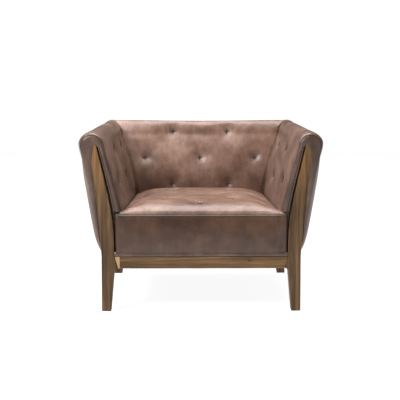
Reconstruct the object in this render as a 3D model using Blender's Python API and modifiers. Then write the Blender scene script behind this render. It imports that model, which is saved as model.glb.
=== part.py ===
"""Leather armchair with a wooden base, show-wood arm posts and a tight, boxed seat.

Metres, +Z up, front towards -Y, origin on the floor under the middle of the chair.
Left is -X and right is +X, as seen by someone who stands in front of the chair.
"""

import math

import bmesh
import bpy
from mathutils import Matrix, Vector
from mathutils.geometry import interpolate_bezier

# Overall sizes
WIDTH = 1.020                # over the arms at their shoulders, carried on to the front
DEPTH = 0.790                # front of the legs to the outside of the back
HEIGHT = 0.752               # floor to the top of the back
ARM_FRONT_TOP = 0.7345       # floor to the top of the arm, near the front

# Shape of the padded shell
ARM_FLARE = 0.0995           # outward reach of the arm from foot to shoulder, at the front
BACK_FLARE = 0.066           # the same at the back and at the rear corners
ARM_THICKNESS = 0.114        # across the arm at its shoulder, at the front
BACK_THICKNESS = 0.098       # across the back at its shoulder
ARM_LEAN = 0.064             # outward reach of the arm's inside face above the seat
BACK_LEAN = 0.072            # the same at the back and at the rear corners
ARM_LEAN_STRAIGHT = 0.90     # part of that lean that is straight, the rest curves
BACK_LEAN_STRAIGHT = 0.50
ARM_ROLL = 0.050             # height of the rounded top above the shoulder
BACK_ROLL = 0.066
BELLY = 0.25                 # part of the flare that is in the rounded lower belly
BELLY_LENGTH = 0.06          # height of that belly, as a part of the side's height
SWELL = 0.040                # depth over which the arm swells from its front panel
PANEL_DROP = 0.005           # top of the arm above its front panel
PANEL_TUCK = 0.001           # inside face of the arm inside its front panel
CORNER_RADIUS = 0.065        # plan radius of the rear corners at the foot
COVER = 0.002                # leather and its backing
FIT = 0.0004                 # gap between pieces that touch
SOFT_GAP = 0.003             # gap between the seat and the arms or back

# Base
RAIL_BOTTOM = 0.1805
RAIL_HEIGHT = 0.049
RAIL_THICKNESS = 0.030       # front rail
SIDE_THICKNESS = 0.022       # side and rear rails
RAIL_SETBACK = 0.002         # rail faces behind the leg faces
TENON = Vector((0.016, 0.010, 0.029))  # length into the leg, thickness, height
LEG_INSET = 0.002            # leg face inside the foot of the leather
FOOT_WIDTH = 0.038
KNEE_WIDTH = 0.0515          # front leg at the bottom of the rail
LEG_DEPTH = 0.045
FOOT_DEPTH = 0.038
HAUNCH = 0.013               # how far the leg reaches under the rail's end
HAUNCH_RADIUS = 0.010
REAR_SPLAY = 0.010           # outward reach of the rear foot
REAR_CORNER_RADIUS = 0.010
ARRIS = 0.0015               # softened edges of the wood

# Arm posts, which the front legs grow into
POST_BAND = 0.0576           # widest point of the arm outside the post's top
BAND_TOP = 0.034             # leather panel outside the post, at its top
BAND_FOOT = 0.002            # the same at the rail
POST_TOP_DROP = 0.0435       # arm top above the post's top
POST_TOP_WIDTH = 0.031
POST_TOP_RISE = 0.013        # height of the rounded top
POST_CURVE = 0.42            # straight part of the outer edge's reach
POST_BEND = (0.14, 0.41, 0.63)  # heights of the inner edge's bend, as parts of the post
FACET_DEPTH = 0.009          # outer facet at the top of the post
FACET_FOOT = 0.04            # where that facet runs out, above the rail's top
BAND_SETBACK = 0.006         # leather arm front behind the face of the post
BAND_START = 0.028           # foot of the arm front above the rail's top

# Seat
SEAT_EDGE = 0.4045           # floor to the seam round the top
SEAT_CROWN = 0.030           # rise of the middle over the seam
SEAT_SHOULDER = 0.012        # radius under that seam
SEAT_POST_GAP = 0.0055       # between the seat's front and each post
SEAT_FACE = 0.002            # seat front behind the leg faces
FLANGE_HEIGHT = 0.0115       # leather strip on the front rail
FLANGE_DEPTH = 0.008

# Inner frame
FRAME = 0.020                # thickness of the rails inside the padding
FRAME_CLEARANCE = 0.002
FRAME_RAIL_HEIGHT = 0.045
FRAME_FOOT = 0.045           # middle of the frame at its foot, from the corner's centre
FRAME_HEAD = 0.073           # middle of the frame at its head, from the corner's centre
FRAME_HEAD_FRONT = 0.0735    # the same at the post, in from the widest point of the arm
TOP_PADDING = 0.040          # foam over the frame
REAR_POST_WIDTH = 0.024
STRAP = (0.050, 0.0015)      # webbing width and thickness
STRAP_PLACES = (-0.177, -0.059, 0.059, 0.177)

# Springs and deck
SPRING_COUNT = 5
SPRING_PITCH = 0.118
SPRING_WIRE = 0.0019         # radius
SPRING_SWING = 0.024         # half the width of a spring
SPRING_WAVES = 10
CLIP = (0.015, 0.001)        # width and thickness of the steel clip strips
CLIP_SETBACK = 0.0085
TIE_WIRE = 0.001
TIE_PLACES = (0.33, 0.67)    # along the springs, from front to back
FELT = 0.0058
DECK_MARGIN = 0.006          # deck felt inside the padding
DUST_COVER = 0.0008

# Fasteners and feet
BLOCK_LEG = 0.050            # corner block along each rail, past the leg
BLOCK_HEIGHT = 0.030
BOLT_RADIUS = 0.003
BOLT_LENGTH = 0.046
BOLT_HEAD = (0.0065, 0.004)  # radius and thickness
GLIDE_RADIUS = 0.010
GLIDE_THICKNESS = 0.004
GLIDE_PROUD = 0.001

# Places that follow from the sizes above
FRONT = -DEPTH / 2
HALF = WIDTH / 2
BASE = HALF - ARM_FLARE                       # foot of the arm's leather, from the middle
BASE_BACK = FRONT + DEPTH - BACK_FLARE        # foot of the back's leather
CORNER = Vector((BASE - CORNER_RADIUS, BASE_BACK - CORNER_RADIUS))
RAIL_TOP = RAIL_BOTTOM + RAIL_HEIGHT
OUTER_FOOT = RAIL_TOP + 2 * FIT
DECK_TOP = RAIL_TOP + FLANGE_HEIGHT + FIT     # top of the felt and of the front flange
INNER_FOOT = DECK_TOP + FIT
SEAT_TOP = SEAT_EDGE + SEAT_CROWN
LEG_OUTER = BASE - LEG_INSET
LEG_INNER = LEG_OUTER - KNEE_WIDTH
LEG_BACK = FRONT + LEG_DEPTH
REAR_LEG_FRONT = BASE_BACK - LEG_DEPTH - LEG_INSET
POST_TOP = ARM_FRONT_TOP - POST_TOP_DROP
POST_SHOULDER = POST_TOP - POST_TOP_RISE
POST_REACH = HALF - POST_BAND - LEG_OUTER
PAD_FRONT = LEG_BACK + 2 * FIT
FRAME_HEAD_X = HALF - FRAME_HEAD_FRONT

ROLL_STEPS = 8
SIDE_LEVELS = (0.0, 0.05, 0.12, 0.25, 0.6, 1.0)
INNER_LEVELS = (1.0, 0.66, 0.33, 0.0)
PANEL_LEVELS = (0.0, 0.35, 0.70, 1.0)
CORNER_STEPS = 3
CROWN_STEPS = ((0.06, 0.60), (0.12, 0.90), (0.20, 1.0))  # distance inward and share of the crown


# ---------------------------------------------------------------- helpers
def clear_scene():
    for old in list(bpy.data.objects):
        bpy.data.objects.remove(old)


def new_collection(name):
    collection = bpy.data.collections.new(name)
    bpy.context.scene.collection.children.link(collection)
    return collection


def new_material(name, colour, roughness, metallic=0.0):
    material = bpy.data.materials.new(name)
    material.use_nodes = True
    shader = material.node_tree.nodes["Principled BSDF"]
    shader.inputs["Base Color"].default_value = (*colour, 1.0)
    shader.inputs["Roughness"].default_value = roughness
    shader.inputs["Metallic"].default_value = metallic
    return material


clear_scene()
PARTS = new_collection("armchair")
CUTTERS = new_collection("cutters")
OAK = new_material("oak", (0.20, 0.125, 0.065), 0.55)
BEECH = new_material("beech", (0.48, 0.33, 0.20), 0.65)
LEATHER = new_material("leather", (0.20, 0.105, 0.072), 0.42)
FOAM = new_material("foam", (0.80, 0.74, 0.58), 0.95)
STEEL = new_material("steel", (0.55, 0.55, 0.56), 0.35, 1.0)
WEBBING = new_material("webbing", (0.35, 0.26, 0.17), 0.90)
BLACK_CLOTH = new_material("black_cloth", (0.02, 0.02, 0.022), 0.95)
NYLON = new_material("nylon", (0.05, 0.045, 0.04), 0.45)


def add_object(name, mesh, material, collection=PARTS):
    piece = bpy.data.objects.new(name, mesh)
    mesh.materials.clear()
    mesh.materials.append(material)
    collection.objects.link(piece)
    return piece


def mesh_from(bm, name):
    mesh = bpy.data.meshes.new(name)
    bm.to_mesh(mesh)
    bm.free()
    return mesh


def box_mesh(name, low, high):
    low, high = Vector(low), Vector(high)
    bm = bmesh.new()
    bmesh.ops.create_cube(bm, size=1.0)
    for vert in bm.verts:
        vert.co = Vector([(low[k] + high[k]) / 2 + vert.co[k] * (high[k] - low[k]) for k in range(3)])
    return mesh_from(bm, name)


def box(name, low, high, material):
    return add_object(name, box_mesh(name, low, high), material)


def rod_mesh(name, start, end, radius, sides=12):
    start, end = Vector(start), Vector(end)
    bm = bmesh.new()
    bmesh.ops.create_cone(bm, cap_ends=True, segments=sides, radius1=radius, radius2=radius,
                          depth=(end - start).length)
    turn = (end - start).to_track_quat("Z", "Y").to_matrix().to_4x4()
    bmesh.ops.transform(bm, matrix=Matrix.Translation((start + end) / 2) @ turn, verts=bm.verts)
    return mesh_from(bm, name)


def loft_mesh(name, rings):
    """A skin through rings of equally many points, closed by a face at each end.

    Each diagonal starts at the lower point, so that nested skins fold alike and stay apart."""
    bm = bmesh.new()
    rows = [[bm.verts.new(point) for point in ring] for ring in rings]
    count = len(rings[0])
    for near, far in zip(rows, rows[1:]):
        for k in range(count):
            a, b = near[k], near[(k + 1) % count]
            c, d = far[(k + 1) % count], far[k]
            halves = ((a, b, c), (a, c, d)) if a.co.z <= b.co.z else ((a, b, d), (b, c, d))
            for corners in halves:
                bm.faces.new(corners)
    bm.faces.new(rows[0])
    bm.faces.new(rows[-1])
    bmesh.ops.recalc_face_normals(bm, faces=bm.faces)
    return mesh_from(bm, name)


def evaluated_mesh(piece):
    graph = bpy.context.evaluated_depsgraph_get()
    graph.update()
    return bpy.data.meshes.new_from_object(piece.evaluated_get(graph))


def plate(name, outline, low, thickness, material):
    """A flat outline in X and Z, extruded backwards from the depth given."""
    curve = bpy.data.curves.new(name, "CURVE")
    curve.dimensions = "2D"
    curve.fill_mode = "BOTH"
    curve.extrude = thickness / 2
    spline = curve.splines.new("POLY")
    spline.points.add(len(outline) - 1)
    for point, (x, z) in zip(spline.points, outline):
        point.co = (x, z, 0.0, 1.0)
    spline.use_cyclic_u = True
    shape = bpy.data.objects.new(name + "_outline", curve)
    PARTS.objects.link(shape)
    mesh = evaluated_mesh(shape)
    bpy.data.objects.remove(shape)
    bm = bmesh.new()
    bm.from_mesh(mesh)
    bmesh.ops.remove_doubles(bm, verts=bm.verts, dist=0.00002)
    bmesh.ops.dissolve_limit(bm, angle_limit=0.002, verts=bm.verts, edges=bm.edges)
    upright = Matrix.Translation((0, low + thickness / 2, 0)) @ Matrix.Rotation(math.pi / 2, 4, "X")
    bmesh.ops.transform(bm, matrix=upright, verts=bm.verts)
    bmesh.ops.recalc_face_normals(bm, faces=bm.faces)
    return add_object(name, mesh_from(bm, name), material)


def combine(piece, mesh, operation="DIFFERENCE"):
    """Cut a mesh out of a piece, or join it on, and keep the result as the piece's mesh."""
    cutter = add_object(piece.name + "_cutter", mesh, BEECH, CUTTERS)
    cutter.hide_render = True
    cutter.display_type = "WIRE"
    boolean = piece.modifiers.new("cut", "BOOLEAN")
    boolean.operation = operation
    boolean.solver = "EXACT"
    boolean.object = cutter
    result = evaluated_mesh(piece)
    piece.modifiers.clear()
    materials = list(piece.data.materials)
    piece.data = result
    result.materials.clear()
    result.materials.append(materials[0])
    bpy.data.objects.remove(cutter)


def soften(piece, width=ARRIS, angle=35):
    bevel = piece.modifiers.new("arris", "BEVEL")
    bevel.width = width
    bevel.segments = 1
    bevel.limit_method = "ANGLE"
    bevel.angle_limit = math.radians(angle)


def bake(piece):
    material = piece.data.materials[0]
    mesh = evaluated_mesh(piece)
    piece.modifiers.clear()
    piece.data = mesh
    mesh.materials.clear()
    mesh.materials.append(material)


def smooth(piece, angle=40):
    bake(piece)
    piece.data.shade_smooth()
    piece.data.set_sharp_from_angle(angle=math.radians(angle))


def mirror_pair(piece):
    """Names the right-hand piece and adds its mirror image on the left."""
    bake(piece)
    mesh = piece.data.copy()
    mesh.transform(Matrix.Scale(-1, 4, (1, 0, 0)))
    mesh.flip_normals()
    add_object(piece.name.replace("right", "left"), mesh, piece.data.materials[0])


def mirrored(mesh):
    copy = mesh.copy()
    copy.transform(Matrix.Scale(-1, 4, (1, 0, 0)))
    copy.flip_normals()
    return copy


# ---------------------------------------------------------------- shape of the padded shell
def blend(a, b, share):
    return a + (b - a) * share


class Section:
    """An upright cut through the arm or the back, in distances outward from the corner's centre.

    The share is 0 at the front of the arm and 1 from the rear corner on. The pinch is 1 where the
    arm meets its front panel and 0 where it has its full width."""

    def __init__(self, share, pinch=0.0):
        self.pinch = pinch
        self.base = BASE - CORNER.x
        self.flare = blend(ARM_FLARE, BACK_FLARE, share)
        self.lean = blend(ARM_LEAN, BACK_LEAN, share)
        self.straight = blend(ARM_LEAN_STRAIGHT, BACK_LEAN_STRAIGHT, share)
        self.roll = blend(ARM_ROLL, BACK_ROLL, share)
        self.top = blend(ARM_FRONT_TOP, HEIGHT, math.sin(share * math.pi / 2)) - pinch * PANEL_DROP
        self.shoulder = self.top - self.roll
        thickness = blend(ARM_THICKNESS, BACK_THICKNESS, share)
        self.outer_shoulder = self.outer_at(self.shoulder)
        self.inner_shoulder = self.base + self.flare - thickness + pinch * PANEL_TUCK
        self.inner_base = self.inner_shoulder - self.lean
        self.frame_head = blend(FRAME_HEAD_X - CORNER.x, FRAME_HEAD, share)

    def outer_at(self, z):
        rise = (z - OUTER_FOOT) / (self.shoulder - OUTER_FOOT)
        belly = BELLY * (1 - math.exp(-rise / BELLY_LENGTH))
        full = self.base + self.flare * (belly + (1 - BELLY) * rise)
        if self.pinch == 0:
            return full
        return blend(full, panel_edge(z) - CORNER.x, self.pinch)

    def inner(self, rise):
        lean = self.straight * rise + (1 - self.straight) * rise * rise
        return self.inner_base + self.lean * lean

    def frame_middle(self, z):
        head = self.top - TOP_PADDING
        return blend(FRAME_FOOT, self.frame_head, (z - RAIL_TOP) / (head - RAIL_TOP))

    def reach(self, z):
        """How far the outer face has flared at a height. The corner's centre moves out with it."""
        return self.outer_at(min(z, self.shoulder)) - self.base

    def skin(self, inset=0.0):
        """Points from the outer foot over the top to the inner foot, each with its reach."""
        points = []
        for rise in SIDE_LEVELS:
            z = blend(OUTER_FOOT, self.shoulder, rise)
            points.append((self.outer_at(z) - inset, z))
        middle = (self.outer_shoulder + self.inner_shoulder) / 2
        half = (self.outer_shoulder - self.inner_shoulder) / 2 - inset
        for step in range(1, ROLL_STEPS):
            angle = math.pi * step / ROLL_STEPS
            z = self.shoulder + (self.roll - inset) * math.sin(angle)
            points.append((middle + half * math.cos(angle), z))
        for rise in INNER_LEVELS:
            points.append((self.inner(rise) + inset, blend(SEAT_TOP, self.shoulder, rise)))
        points.append((self.inner_base + inset, INNER_FOOT))
        return [(offset, z, self.reach(z)) for offset, z in points]

    def slot(self):
        """Room for the frame, from the inner foot up and down to the outer foot."""
        half = FRAME / 2 + FRAME_CLEARANCE
        head = self.top - TOP_PADDING
        return [
            (self.frame_middle(INNER_FOOT) - half, INNER_FOOT, 0.0),
            (self.frame_middle(head) - half, head, 0.0),
            (self.frame_middle(head) + half, head, 0.0),
            (self.frame_middle(OUTER_FOOT) + half, OUTER_FOOT, 0.0),
        ]

    def foam(self):
        return self.skin(COVER + FIT) + self.slot()

    def cover(self):
        return self.skin() + self.skin(COVER)[::-1]


def around_corner(offset, angle, reach):
    """Plan place of a point on its way round the corner, from the arm at 0 to the back at a right angle.

    The centre lies further out by the reach. What is outside it turns about it, and what is inside
    runs straight to the mitre."""
    rest = offset - reach
    middle = CORNER + Vector((reach, reach))
    if rest >= 0:
        return middle.x + rest * math.cos(angle), middle.y + rest * math.sin(angle)
    part = angle / (math.pi / 4)
    if part <= 1:
        return middle.x + rest, middle.y + rest * (2 - part)
    return middle.x + rest * part, middle.y + rest


def mitre_shift(ring, side):
    shift = Vector((side, -side, 0)) * FIT / 2
    return [point + shift for point in ring]


def corner_ring(points, angle):
    return [Vector((*around_corner(offset, angle, reach), z)) for offset, z, reach in points]


def arm_stations():
    """Depths along the straight part of the arm, each with its section."""
    depths = [PAD_FRONT + SWELL * part for part in (0.0, 0.3, 1.0)]
    depths += [blend(PAD_FRONT + SWELL, CORNER.y, part) for part in (0.25, 0.5, 0.75)]
    stations = []
    for y in depths:
        share = (y - FRONT) / (CORNER.y - FRONT)
        pinch = max(0.0, 1 - (y - PAD_FRONT) / SWELL) ** 2
        stations.append((y, Section(share, pinch)))
    return stations


def arm_rings(outline_of):
    """Rings of the right arm, from its front panel to the mitre at the rear corner."""
    rings = []
    for y, section in arm_stations():
        rings.append([Vector((CORNER.x + offset, y, z)) for offset, z, reach in outline_of(section)])
    outline = outline_of(Section(1.0))
    for step in range(CORNER_STEPS + 1):
        rings.append(corner_ring(outline, math.pi / 4 * step / CORNER_STEPS))
    rings[-1] = mitre_shift(rings[-1], 1)
    return rings


def back_rings(outline_of):
    """Rings of the back from its right mitre to its left one."""
    outline = outline_of(Section(1.0))
    half = []
    for step in range(CORNER_STEPS + 1):
        half.append(corner_ring(outline, math.pi / 4 * (1 + step / CORNER_STEPS)))
    half[0] = mitre_shift(half[0], -1)
    flip = Vector((-1, 1, 1))
    return half + [[point * flip for point in ring] for ring in half[::-1]]


def panel_edge(z):
    """Outer edge of the arm's front panel, which widens from the rail to the post's top."""
    share = (z - RAIL_TOP) / (POST_SHOULDER - RAIL_TOP)
    reach = POST_REACH * (POST_CURVE * share + (1 - POST_CURVE) * share * share)
    return LEG_OUTER + reach + blend(BAND_FOOT, BAND_TOP, share)


def arm_front_outline():
    """Leather panel of the arm round the post, from its outer foot over the top."""
    section = Section(0.0, 1.0)
    foot = RAIL_TOP + BAND_START
    inner_end = SEAT_EDGE + 2 * SOFT_GAP
    outer = [(panel_edge(z), z) for z in (blend(foot, section.shoulder, part) for part in PANEL_LEVELS)]
    skin = [(CORNER.x + offset, z) for offset, z, reach in section.skin()]
    roll = skin[len(SIDE_LEVELS):len(SIDE_LEVELS) + ROLL_STEPS - 1 + len(INNER_LEVELS) - 1]
    inner_foot = (CORNER.x + section.inner_base, inner_end)
    post_in = [(x - FIT, z) for x, z in post_inner_edge() if z > inner_end]
    post_in = [(x_at(post_inner_edge(), inner_end) - FIT, inner_end)] + post_in
    cap = [(x, z + FIT) for x, z in post_cap()]
    post_out = [(x + FIT, z) for x, z in post_outer_edge() if z > foot]
    post_out = post_out[::-1] + [(x_at(post_outer_edge(), foot) + FIT, foot)]
    return outer + roll + [inner_foot] + post_in + cap + post_out


# ---------------------------------------------------------------- legs and posts
def x_at(edge, z):
    for (x0, z0), (x1, z1) in zip(edge, edge[1:]):
        if z0 <= z <= z1:
            return blend(x0, x1, (z - z0) / (z1 - z0))
    return edge[-1][0]


def post_outer_edge(steps=6):
    edge = []
    for step in range(steps + 1):
        t = step / steps
        reach = POST_REACH * (POST_CURVE * t + (1 - POST_CURVE) * t * t)
        edge.append((LEG_OUTER + reach, blend(RAIL_TOP, POST_SHOULDER, t)))
    return edge


def post_inner_edge(steps=8):
    top = LEG_OUTER + POST_REACH - POST_TOP_WIDTH
    height = [blend(RAIL_TOP, POST_SHOULDER, share) for share in POST_BEND]
    points = interpolate_bezier(
        Vector((LEG_INNER, height[0])),
        Vector((LEG_INNER, height[1])),
        Vector((blend(LEG_INNER, top, 0.44), height[2])),
        Vector((top, POST_SHOULDER)), steps)
    return [(LEG_INNER, RAIL_TOP)] + [(point.x, point.y) for point in points]


def post_cap(steps=6):
    """Rounded top of the post, from its inner to its outer side, without the end points."""
    outer = LEG_OUTER + POST_REACH
    middle, half = outer - POST_TOP_WIDTH / 2, POST_TOP_WIDTH / 2
    cap = []
    for step in range(1, steps):
        angle = math.pi * (1 - step / steps)
        cap.append((middle + half * math.cos(angle), POST_SHOULDER + POST_TOP_RISE * math.sin(angle)))
    return cap


def haunch():
    """Inner side of the leg where it reaches under the rail, from below to above."""
    tip = LEG_INNER - HAUNCH
    points = []
    for step in range(4):
        angle = math.pi / 2 * step / 3
        points.append((LEG_INNER - HAUNCH_RADIUS * (1 - math.cos(angle)),
                       RAIL_BOTTOM - HAUNCH_RADIUS * (1 - math.sin(angle))))
    return points + [(tip, RAIL_BOTTOM)]


def taper_depth(piece, fixed, moving):
    """Narrow a leg towards the floor: its far face runs from the rail's foot to the foot's depth."""
    for vert in piece.data.vertices:
        if abs(vert.co.y - fixed) > LEG_DEPTH / 2 and vert.co.z < RAIL_BOTTOM:
            height = vert.co.z / RAIL_BOTTOM
            vert.co.y = blend(fixed + moving * FOOT_DEPTH, fixed + moving * LEG_DEPTH, height)


def glide_recess(x, y):
    return rod_mesh("recess", (x, y, 0), (x, y, GLIDE_THICKNESS + FIT), GLIDE_RADIUS + FIT, 16)


def glide(name, x, y):
    piece = add_object(name, rod_mesh(name, (x, y, 0), (x, y, GLIDE_THICKNESS), GLIDE_RADIUS, 16), NYLON)
    smooth(piece)


def front_leg():
    foot_in = LEG_OUTER + LEG_INSET - FOOT_WIDTH
    outline = [(LEG_OUTER + LEG_INSET, GLIDE_PROUD), (foot_in, GLIDE_PROUD)]
    outline += haunch()
    outline += post_inner_edge() + post_cap() + post_outer_edge()[::-1]
    leg = plate("front_leg_right", outline, FRONT, LEG_DEPTH, OAK)
    taper_depth(leg, FRONT, 1)
    # the facet starts at the outer edge above the rail and takes the whole width at the top
    low = Vector((LEG_OUTER, FRONT, RAIL_TOP + FACET_FOOT))
    inner = Vector((LEG_OUTER + POST_REACH - POST_TOP_WIDTH, FRONT, POST_TOP))
    outer = Vector((LEG_OUTER + POST_REACH, FRONT + FACET_DEPTH, POST_TOP))
    normal = (inner - low).cross(outer - low).normalized()
    if normal.y > 0:
        normal = -normal
    bm = bmesh.new()
    bm.from_mesh(leg.data)
    cut = bmesh.ops.bisect_plane(bm, geom=bm.verts[:] + bm.edges[:] + bm.faces[:], dist=0.00001,
                                 plane_co=low, plane_no=normal, clear_outer=True)
    edges = [item for item in cut["geom_cut"] if isinstance(item, bmesh.types.BMEdge)]
    bmesh.ops.edgeloop_fill(bm, edges=edges)
    bmesh.ops.recalc_face_normals(bm, faces=bm.faces)
    bm.to_mesh(leg.data)
    bm.free()
    soften(leg)
    bake(leg)
    combine(leg, front_mortise())
    combine(leg, side_mortise(LEG_BACK, -1))
    combine(leg, bolt_hole(*front_corner()))
    foot = (LEG_OUTER + LEG_INSET - FOOT_WIDTH / 2, FRONT + FOOT_DEPTH / 2)
    combine(leg, glide_recess(*foot))
    glide("glide_front_right", *foot)
    glide("glide_front_left", -foot[0], foot[1])
    mirror_pair(leg)


def rear_leg():
    top_low = Vector((LEG_INNER, REAR_LEG_FRONT))
    top_high = Vector((LEG_OUTER, REAR_LEG_FRONT + LEG_DEPTH))
    foot_high = Vector((LEG_OUTER + REAR_SPLAY, top_high.y))
    foot_low = foot_high - Vector((FOOT_WIDTH, FOOT_DEPTH))

    def ring(low, high, z):
        return [Vector((low.x, low.y, z)), Vector((high.x, low.y, z)),
                Vector((high.x, high.y, z)), Vector((low.x, high.y, z))]

    rings = [ring(foot_low, foot_high, GLIDE_PROUD), ring(top_low, top_high, RAIL_BOTTOM),
             ring(top_low, top_high, RAIL_TOP)]
    leg = add_object("rear_leg_right", loft_mesh("rear_leg_right", rings), OAK)
    bm = bmesh.new()
    bm.from_mesh(leg.data)
    corner = [edge for edge in bm.edges if all(
        vert.co.x > LEG_OUTER - FIT and vert.co.y > top_high.y - FIT for vert in edge.verts)]
    bmesh.ops.bevel(bm, geom=corner, offset=REAR_CORNER_RADIUS, segments=3, affect="EDGES", profile=0.5)
    bm.to_mesh(leg.data)
    bm.free()
    soften(leg)
    bake(leg)
    combine(leg, rear_mortise())
    combine(leg, side_mortise(REAR_LEG_FRONT, 1))
    combine(leg, bolt_hole(*rear_corner()))
    foot = ((foot_low.x + foot_high.x) / 2, (foot_low.y + foot_high.y) / 2)
    combine(leg, glide_recess(*foot))
    glide("glide_rear_right", *foot)
    glide("glide_rear_left", -foot[0], foot[1])
    mirror_pair(leg)


# ---------------------------------------------------------------- rails with tenons
def tenon_box(name, low, high, clearance):
    gap = Vector((clearance, clearance, clearance))
    return box_mesh(name, Vector(low) - gap, Vector(high) + gap)


def tenon_heights():
    middle = RAIL_BOTTOM + RAIL_HEIGHT / 2
    return middle - TENON.z / 2, middle + TENON.z / 2


def front_tenon(clearance=0.0):
    low, high = tenon_heights()
    y = FRONT + RAIL_SETBACK + RAIL_THICKNESS / 2
    return tenon_box("tenon", (LEG_INNER - 2 * HAUNCH, y - TENON.y / 2, low),
                     (LEG_INNER + TENON.x, y + TENON.y / 2, high), clearance)


def front_mortise():
    return front_tenon(FIT)


def rear_rail_front():
    return BASE_BACK - LEG_INSET - RAIL_SETBACK - SIDE_THICKNESS


def rear_tenon(clearance=0.0):
    low, high = tenon_heights()
    y = rear_rail_front() + SIDE_THICKNESS / 2
    return tenon_box("tenon", (LEG_INNER - TENON.x, y - TENON.y / 2, low),
                     (LEG_INNER + TENON.x, y + TENON.y / 2, high), clearance)


def rear_mortise():
    return rear_tenon(FIT)


def side_rail_middle():
    return LEG_OUTER - RAIL_SETBACK - SIDE_THICKNESS / 2


def side_tenon(face, outward, clearance=0.0):
    low, high = tenon_heights()
    x = side_rail_middle()
    ends = sorted((face + outward * TENON.x, face - outward * TENON.x))
    return tenon_box("tenon", (x - TENON.y / 2, ends[0], low), (x + TENON.y / 2, ends[1], high), clearance)


def side_mortise(face, outward):
    return side_tenon(face, outward, FIT)


def base_rails():
    bottom = LEG_INNER - HAUNCH - FIT
    top = LEG_INNER - FIT
    outline = [(-bottom, RAIL_BOTTOM), (bottom, RAIL_BOTTOM), (top, RAIL_TOP - FIT), (-top, RAIL_TOP - FIT)]
    rail = plate("front_rail", outline, FRONT + RAIL_SETBACK, RAIL_THICKNESS, OAK)
    soften(rail)
    bake(rail)
    combine(rail, front_tenon(), "UNION")
    combine(rail, mirrored(front_tenon()), "UNION")

    y = rear_rail_front()
    end = LEG_INNER - FIT
    rail = box("rear_rail", (-end, y, RAIL_BOTTOM), (end, y + SIDE_THICKNESS, RAIL_TOP - FIT), OAK)
    soften(rail)
    bake(rail)
    combine(rail, rear_tenon(), "UNION")
    combine(rail, mirrored(rear_tenon()), "UNION")

    x = side_rail_middle()
    rail = box("side_rail_right", (x - SIDE_THICKNESS / 2, LEG_BACK + FIT, RAIL_BOTTOM),
               (x + SIDE_THICKNESS / 2, REAR_LEG_FRONT - FIT, RAIL_TOP - FIT), OAK)
    soften(rail)
    bake(rail)
    combine(rail, side_tenon(LEG_BACK, -1), "UNION")
    combine(rail, side_tenon(REAR_LEG_FRONT, 1), "UNION")
    mirror_pair(rail)


# ---------------------------------------------------------------- corner blocks and bolts
def front_corner():
    """Plan corner that the front block fits: leg side, leg back, rail faces, direction inward."""
    leg = Vector((LEG_INNER - HAUNCH, LEG_BACK))
    rails = Vector((side_rail_middle() - SIDE_THICKNESS / 2, FRONT + RAIL_SETBACK + RAIL_THICKNESS))
    return leg, rails, 1


def rear_corner():
    leg = Vector((LEG_INNER, REAR_LEG_FRONT))
    rails = Vector((side_rail_middle() - SIDE_THICKNESS / 2, rear_rail_front()))
    return leg, rails, -1


def block_outline(leg, rails, inward):
    gap = 2 * FIT
    x0, x1 = leg.x - gap, rails.x - gap
    y0, y1 = rails.y + inward * gap, leg.y + inward * gap
    return [Vector((x0 - BLOCK_LEG, y0)), Vector((x0, y0)), Vector((x0, y1)), Vector((x1, y1)),
            Vector((x1, y1 + inward * BLOCK_LEG))]


def bolt_line(leg, rails, inward):
    """Start on the block's long face and direction into the leg."""
    outline = block_outline(leg, rails, inward)
    face = (outline[4] - outline[0]).normalized()
    middle = (outline[0] + outline[4]) / 2
    direction = Vector((face.y, -face.x)) * inward
    height = RAIL_BOTTOM + RAIL_HEIGHT / 2
    return Vector((middle.x, middle.y, height)), Vector((direction.x, direction.y, 0))


def bolt_hole(leg, rails, inward):
    start, direction = bolt_line(leg, rails, inward)
    end = start + direction * (BOLT_LENGTH + FIT)
    return rod_mesh("hole", start - direction * 0.01, end, BOLT_RADIUS + FIT)


def corner_joint(where, corner):
    outline = block_outline(*corner)
    low = RAIL_BOTTOM + (RAIL_HEIGHT - BLOCK_HEIGHT) / 2
    name = "corner_block_" + where + "_right"
    rings = [[Vector((point.x, point.y, z)) for point in outline] for z in (low, low + BLOCK_HEIGHT)]
    block = add_object(name, loft_mesh(name, rings), BEECH)
    combine(block, bolt_hole(*corner))
    mirror_pair(block)
    start, direction = bolt_line(*corner)
    name = "corner_bolt_" + where + "_right"
    shank = rod_mesh(name, start - direction * (2 * FIT), start + direction * BOLT_LENGTH, BOLT_RADIUS)
    bolt = add_object(name, shank, STEEL)
    head_start = start - direction * FIT
    combine(bolt, rod_mesh("head", head_start - direction * BOLT_HEAD[1], head_start, BOLT_HEAD[0], 6), "UNION")
    mirror_pair(bolt)


# ---------------------------------------------------------------- frame inside the padding
def frame_rect(middle_of, top, height, half):
    """Four corners of a rail's section that leans with the frame."""
    low = top - height
    return [(middle_of(low) - half, low, 0.0), (middle_of(low) + half, low, 0.0),
            (middle_of(top) + half, top, 0.0), (middle_of(top) - half, top, 0.0)]


def rail_section(section):
    top = section.top - TOP_PADDING - FRAME_CLEARANCE
    return frame_rect(section.frame_middle, top, FRAME_RAIL_HEIGHT, FRAME / 2)


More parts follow.
